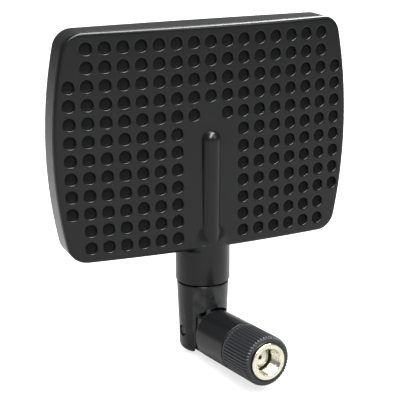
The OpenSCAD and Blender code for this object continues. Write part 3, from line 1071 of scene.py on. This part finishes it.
def front_shell():
    """The front shell: seam lip, walls, rounded front edge and a hollow inside."""

    def maker(bm):
        f = FRONT_FILLET

        def rear(depth):
            return lambda x, z: x * x / (2 * FACE_R) + depth

        def front(depth):
            return lambda x, z: PANEL_T - x * x / (2 * FRONT_R) - depth

        def between(t):
            return lambda x, z: rear(EDGE_T + 0.3)(x, z) * (1 - t) + front(f + 0.1)(x, z) * t

        seam = EDGE_T + 0.14
        outer = [
            panel_loop(bm, SHELL_T, rear(seam)),
            panel_loop(bm, SEAM_CUT, rear(seam)),
            panel_loop(bm, SEAM_CUT * 0.3, rear(seam + SEAM_CUT * 0.4)),
            panel_loop(bm, 0, rear(seam + SEAM_CUT * 1.1)),
        ]
        outer += [panel_loop(bm, 0, between(t)) for t in (0.04, 0.5, 1.0)]
        for k in range(8):
            a = math.radians(90 * k / 7)
            outer.append(panel_loop(bm, f * (1 - math.cos(a)), front(f * (1 - math.sin(a)))))
        outer.append(panel_loop(bm, f + 0.4, front(0)))
        loops_to_faces(bm, outer)
        step = 3.0
        spots = [(i * step, j * step) for i in range(-12, 13) for j in range(-9, 10)]
        filled(bm, outer[-1], [p for p in spots if inside(*p, f + 1.2)], front(0))
        hollow = [outer[0]]
        hollow.append(panel_loop(bm, SHELL_T, front(SHELL_T + 1)))
        hollow.append(panel_loop(bm, SHELL_T + 1, front(SHELL_T)))
        loops_to_faces(bm, hollow)
        filled(bm, hollow[-1], [p for p in spots if inside(*p, SHELL_T + 2)], front(SHELL_T))

    shell = build("front_shell_moulding", maker)
    low, high = -PANEL_H / 2 - 1, -PANEL_H / 2 + SHELL_T + 0.5
    round_neck = NECK_R + SHELL_PLAY
    notch = rod("Z", round_neck, low, high, (0, NECK_Y), 96)
    cut_box(notch, (-9, PANEL_T - SHELL_T - 0.2, -32), (9, 20, -20))
    combine(shell, notch, "DIFFERENCE")
    finished(shell, IN_PANEL, shell_plastic, "panel", "shell_plastic", "front_shell")


# ---- yoke and pins


def yoke():
    def turned(bm):
        outline = [(0, -EAR_DROP, 0), (YOKE_R - 0.05, -EAR_DROP, 1.6), (YOKE_R, 0.5, 3)]
        outline += [(YOKE_TOP_R, YOKE_H, 0.45), (SPIGOT_R, YOKE_H, 0.1)]
        outline += groove(SPIGOT_R, SPIGOT_R - RING_SECTION, RING_Z - RING_GROOVE, RING_Z + RING_GROOVE)
        outline += groove(SPIGOT_R, SPIGOT_R - CLIP_GROOVE, CLIP_LOW, CLIP_LOW + CLIP_T)
        outline += [(SPIGOT_R, SPIGOT_TOP, 0.3), (0, SPIGOT_TOP, 0)]
        lathe(bm, rounded(outline, 6), 128)

    made = build("yoke_moulding", turned)
    half = SLOT_W / 2
    arch_z = SLOT_TOP - SLOT_ARCH_R
    slot = block((-half, -9, -12), (half, 9, SLOT_TOP))
    arch = rod("Y", SLOT_ARCH_R, -10, 10, (0, arch_z), 160)
    combine(arch, block((-half - 1, -10, -13), (half + 1, 10, arch_z)), "UNION")
    combine(slot, arch, "INTERSECT")
    combine(made, slot, "DIFFERENCE")

    def relief(bm):
        rod_in(bm, "Z", BARREL_R + RELIEF_GAP, RELIEF_START, 14, segments=96)
        tilt = Matrix.Rotation(math.radians(180 - RELIEF_ANGLE), 3, "X")
        for v in bm.verts:
            v.co = tilt @ v.co

    combine(made, build("relief", relief), "DIFFERENCE")
    drill(made, "Z", LEAD_HOLE_R, 0, 40)
    drill(made, "X", PIN_R + 0.02, -9, 9, segments=48)
    sink = YOKE_R - RECESS_DEPTH
    for a, b in ((sink, 9), (-9, -sink)):
        drill(made, "X", RECESS_R, a, b, segments=48)
    bevel(made, 0.13)
    finished(made, IN_YOKE, joint_plastic, "yoke", "joint_plastic", "yoke")


def hinge_pins():
    """Two short pins with a centre dimple from riveting."""

    def maker(bm):
        outer = YOKE_R - PIN_SINK
        outline = [(0, PIN_IN, 0), (PIN_R, PIN_IN, 0.15), (PIN_R, outer, 0.25), (0.45, outer, 0.1)]
        lathe(bm, rounded(outline + [(0, outer - 0.2, 0)]), 48)
        turn = Matrix.Rotation(math.pi / 2, 3, "Y")
        for v in bm.verts:
            v.co = turn @ v.co
        twin = bmesh.ops.duplicate(bm, geom=bm.verts[:] + bm.edges[:] + bm.faces[:])["geom"]
        half_turn = Matrix.Rotation(math.pi, 3, "Z")
        for v in twin:
            if isinstance(v, bmesh.types.BMVert):
                v.co = half_turn @ v.co

    finished(build("hinge_pin_pair", maker), IN_YOKE, spring_steel, "yoke", "spring_steel", "hinge_pins")


# ---- arm, sleeve and plug


def elbow_arm():
    def turned(bm):
        outline = [(0, SHOULDER, 0), (BARREL_R, SHOULDER, 0.55), (BARREL_R, BARREL_END, 0.2)]
        outline += [(ARM_SPIGOT_R, BARREL_END, 0), (ARM_SPIGOT_R, ARM_SPIGOT_END, 0.2)]
        lathe(bm, rounded(outline + [(0, ARM_SPIGOT_END, 0)], 6), 128)

    made = build("elbow_arm_moulding", turned)
    knuckle = rod("X", TONGUE_R, -TONGUE_HALF, TONGUE_HALF, segments=96)
    side = TONGUE_R - 0.001
    low, high = (-TONGUE_HALF, -side, 0), (TONGUE_HALF, side, SHOULDER + 0.5)
    combine(knuckle, block(low, high), "UNION")
    combine(made, knuckle, "UNION")
    half = LEAD_SLOT / 2
    drill(made, "X", PIN_R + 0.05, -9, 9, segments=48)
    cut_box(made, (-half, -6, -6), (half, 6, LEAD_NOTCH))
    cut_box(made, (-half, 0.01, -6), (half, 6, LEAD_NOTCH_FRONT))
    bores = ((half - 0.01, -1), (FERRULE_BORE_R, FERRULE_START), (SEAT_R, SEAT_START))
    for r, start in bores:
        drill(made, "Z", r, start, 30)
    bevel(made, 0.12)
    finished(made, IN_ARM, joint_plastic, "arm", "joint_plastic", "elbow_arm")


def mark_cut(bm, test):
    """Marks how deep the ribs or thread go at each point, from 0 to 1."""
    layer = bm.verts.layers.float.get("cut") or bm.verts.layers.float.new("cut")
    for v in bm.verts:
        v[layer] = test(math.hypot(v.co.x, v.co.y), v.co.z)


def knurled_sleeve():
    rear_collar = SLEEVE_START + 0.55
    front_run = SLEEVE_END - 0.85

    def maker(bm):
        body = [(SLEEVE_BORE_R, SLEEVE_START), (BARREL_R - SLEEVE_EDGE, SLEEVE_START)]
        body += [(BARREL_R, SLEEVE_START + SLEEVE_EDGE)]
        body += [(BARREL_R, rear_collar - 0.08), (BARREL_R, rear_collar)]
        steps = 10
        first = rear_collar + 0.1
        body += [(BARREL_R, first + (front_run - first) * k / steps) for k in range(steps + 1)]
        body += arc(BARREL_R - NOSE_R, front_run, NOSE_R, 8, 90, 8)
        body += [(NUT_R + 0.32, SLEEVE_END - 0.05), (NUT_R + 0.25, SLEEVE_END - 0.12)]
        body += [(NUT_R + 0.22, SLEEVE_END - MOUTH_LEN), (NUT_R, SLEEVE_END - MOUTH_LEN)]
        body += [(NUT_R, NUT_START - 0.4), (SLEEVE_BORE_R, NUT_START - 0.4)]
        lathe(bm, body, RIB_COUNT * 8)

        def depth(r, z):
            if r < BARREL_R - 0.75 or z < rear_collar + 0.05:
                return 0.0
            return max(0.0, min(1.0, (r - BARREL_R + 0.75) / 0.5))

        mark_cut(bm, depth)

    made = build("knurled_sleeve_moulding", maker)
    run_nodes(
        made,
        CUT_ROUND,
        Starts=float(RIB_COUNT),
        Turns_per_height=0.0,
        Depth=RIB_DEPTH,
        Flank_low=0.42,
        Flank_high=0.85,
        Finish=sleeve_plastic,
    )
    finished(made, IN_ARM, sleeve_plastic, "nut", "sleeve_plastic", "knurled_sleeve", sharp=70)


def coupling_nut():
    def maker(bm):
        mouth = ARM_LEN
        face = mouth - 0.02
        outer = [(NUT_BORE_R, NUT_START, 0.1), (NUT_R, NUT_START, 0.2)]
        outer += [(NUT_R, face, 0.28), (THREAD_R + 0.18, face, 0.12)]
        bore = [(THREAD_R + 0.02, mouth - 0.32)]
        steps = 44
        top, low = mouth - 0.34, THREAD_START
        bore += [(THREAD_R, top + (low - top) * k / steps) for k in range(steps + 1)]
        flange = NUT_START + NUT_FLANGE
        bore += [(UNDERCUT_R, THREAD_START - 0.1), (UNDERCUT_R, flange), (NUT_BORE_R, flange)]
        lathe(bm, rounded(outer) + bore, 96)

        def depth(r, z):
            if abs(r - THREAD_R) > 0.01 or z > mouth - 0.33 or z < THREAD_START - 0.01:
                return 0.0
            return min(1.0, (mouth - 0.3 - z) / 0.5)

        mark_cut(bm, depth)

    made = build("coupling_nut_turned", maker)
    run_nodes(
        made,
        CUT_ROUND,
        Starts=1.0,
        Turns_per_height=1 / THREAD_PITCH,
        Depth=THREAD_DEPTH,
        Flank_low=0.1,
        Flank_high=0.9,
        Finish=nickel,
    )
    finished(made, IN_ARM, nickel, "nut", "nickel_plate", "coupling_nut", sharp=60)


def plug_body():
    def maker(bm):
        ring = NUT_START - PART_GAP - RETAINER_T
        flange = NUT_START + NUT_FLANGE + PART_GAP
        flange_end = flange + BODY_FLANGE_T
        outline = [(BODY_BACK_R, SEAT_START, 0), (SEAT_R, SEAT_START, 0.15)]
        outline += [(SEAT_R, ARM_SPIGOT_END, 0.1), (BODY_R, ARM_SPIGOT_END, 0)]
        outline += groove(BODY_R, RETAINER_GROOVE_R, ring, ring + RETAINER_T)
        outline += [(BODY_R, flange, 0), (BODY_FLANGE_R, flange, 0.1)]
        outline += [(BODY_FLANGE_R, flange_end, 0.1), (BODY_R, flange_end, 0.1)]
        outline += [(BODY_R, PLUG_FACE, 0.12), (BODY_BORE_R, PLUG_FACE, 0.05)]
        outline += [(BODY_BORE_R, CORE_START, 0), (BODY_BACK_R, CORE_START, 0)]
        lathe(bm, rounded(outline), 96)

    finished(build("plug_body_turned", maker), IN_ARM, nickel, "arm", "nickel_plate", "plug_body")


def insulator():
    def maker(bm):
        outline = [(CONTACT_R, CORE_START, 0), (BODY_BORE_R, CORE_START, 0)]
        outline += [(BODY_BORE_R, CORE_FACE, 0.1), (CONTACT_R, CORE_FACE, 0.12)]
        lathe(bm, rounded(outline), 64)

    finished(build("insulator_turned", maker), IN_ARM, ptfe, "arm", "ptfe", "insulator")


def centre_contact():
    """A socket contact, slit crosswise into four fingers."""

    def maker(bm):
        socket_end = CORE_FACE - SOCKET_LEN
        outline = [(0, CORE_START, 0), (CONTACT_R, CORE_START, 0.05)]
        outline += [(CONTACT_R, CORE_FACE, 0.12), (SOCKET_R, CORE_FACE, 0.06)]
        outline += [(SOCKET_R, socket_end, 0), (0, socket_end - 0.2, 0)]
        lathe(bm, rounded(outline), 48)

    made = build("centre_contact_turned", maker)
    for x, y in ((1.0, SLIT_W / 2), (SLIT_W / 2, 1.0)):
        cut_box(made, (-x, -y, PLUG_FACE - 2.6), (x, y, PLUG_FACE + 1))
    finished(made, IN_ARM, gold, "arm", "contact_brass", "centre_contact")


# ---- carried-over pieces

CAD_FINISHES = {
    "reflector_plate": aluminium,
    "patch_plate": copper,
    "patch_spacers": nylon,
    "patch_screws": nylon,
    "feed_pin": gold,
    "ground_clip": aluminium,
    "lead_in_panel": lead_jacket,
    "lead_in_yoke": lead_jacket,
    "lead_in_arm": lead_jacket,
    "neck_bush": nylon,
    "swivel_clip": spring_steel,
    "friction_ring": ring_rubber,
    "crimp_ferrule": nickel,
    "nut_retaining_ring": gold,
}


def dress_cad_nodes():
    for node, material in CAD_FINISHES.items():
        made = frame["nodes"][node]
        made.data.materials.clear()
        made.data.materials.append(material)


# ---- camera, light and stage

VIEW_TURN = -23.51
VIEW_RISE = 16.85
VIEW_ROLL = 0.2
EYE = Vector((-115.3, -258.0, 70.3))
LENS = 107.4

# how bright the white surroundings and the glowing table are for each kind of ray
WORLD_FILL = 0.85
WORLD_SEEN = 0.22
TABLE_GLOW = 0.72
TABLE_SEEN = 0.0
TABLE_GAP = 0.0005


def camera():
    data = bpy.data.cameras.new("camera")
    data.lens = LENS
    data.sensor_width = 36
    made = bpy.data.objects.new("camera", data)
    made.location = panel_origin + EYE * MM
    turn = math.radians(VIEW_TURN)
    rise = math.radians(VIEW_RISE)
    look = Vector((-math.sin(turn) * math.cos(rise), math.cos(turn) * math.cos(rise), -math.sin(rise)))
    aim = look.to_track_quat("-Z", "Y").to_matrix()
    made.rotation_euler = (aim @ Matrix.Rotation(math.radians(-VIEW_ROLL), 3, "Z")).to_euler()
    bpy.context.scene.collection.objects.link(made)
    bpy.context.scene.camera = made


def softbox(name, place, target, size, power):
    data = bpy.data.lights.new(name, "AREA")
    data.shape = "RECTANGLE"
    data.size, data.size_y = size
    data.energy = power
    made = bpy.data.objects.new(name, data)
    made.location = place
    made.rotation_euler = (Vector(target) - Vector(place)).to_track_quat("-Z", "Y").to_euler()
    bpy.context.scene.collection.objects.link(made)


def stage():
    low = cad_box[0].z - TABLE_GAP
    bm = bmesh.new()
    bmesh.ops.create_grid(bm, x_segments=1, y_segments=1, size=3.0)
    floor = mesh_object("floor", bm)
    floor.location = (0, 0, low)
    material, tree, surface, place = new_material("pale_floor")
    surface.inputs["Base Color"].default_value = (0.25, 0.25, 0.25, 1)
    surface.inputs["Emission Color"].default_value = (1, 1, 1, 1)
    path = add(tree, "ShaderNodeLightPath")
    glow = maths(tree, "MULTIPLY_ADD", path.outputs["Is Glossy Ray"], TABLE_SEEN - TABLE_GLOW, TABLE_GLOW)
    tree.links.new(glow, surface.inputs["Emission Strength"])
    surface.inputs["Roughness"].default_value = 0.8
    surface.inputs["Specular IOR Level"].default_value = 0.1
    floor.data.materials.append(material)

    world = bpy.data.worlds.new("studio")
    bpy.context.scene.world = world
    world.use_nodes = True
    tree = world.node_tree
    path = add(tree, "ShaderNodeLightPath")
    fill = WORLD_FILL - WORLD_SEEN
    strength = maths(tree, "MULTIPLY_ADD", path.outputs["Is Diffuse Ray"], fill, WORLD_SEEN)
    strength = maths(tree, "MULTIPLY_ADD", path.outputs["Is Camera Ray"], 1.0 - WORLD_SEEN, strength)
    tree.links.new(strength, tree.nodes["Background"].inputs["Strength"])
    tree.nodes["Background"].inputs["Color"].default_value = (1, 1, 1, 1)
    bpy.context.scene.view_settings.view_transform = "Standard"

    softbox("overhead_strip", (0.14, -0.01, 0.55), (0.1, 0.02, 0.0), (1.8, 0.22), 38.0)
    softbox("front_top", (0.3, -0.45, 0.42), (0.0, 0.02, 0.03), (0.25, 0.25), 1.3)


# ---- making

camera()
rear_cover()
front_shell()
yoke()
hinge_pins()
elbow_arm()
knurled_sleeve()
coupling_nut()
plug_body()
insulator()
centre_contact()
dress_cad_nodes()
stage()
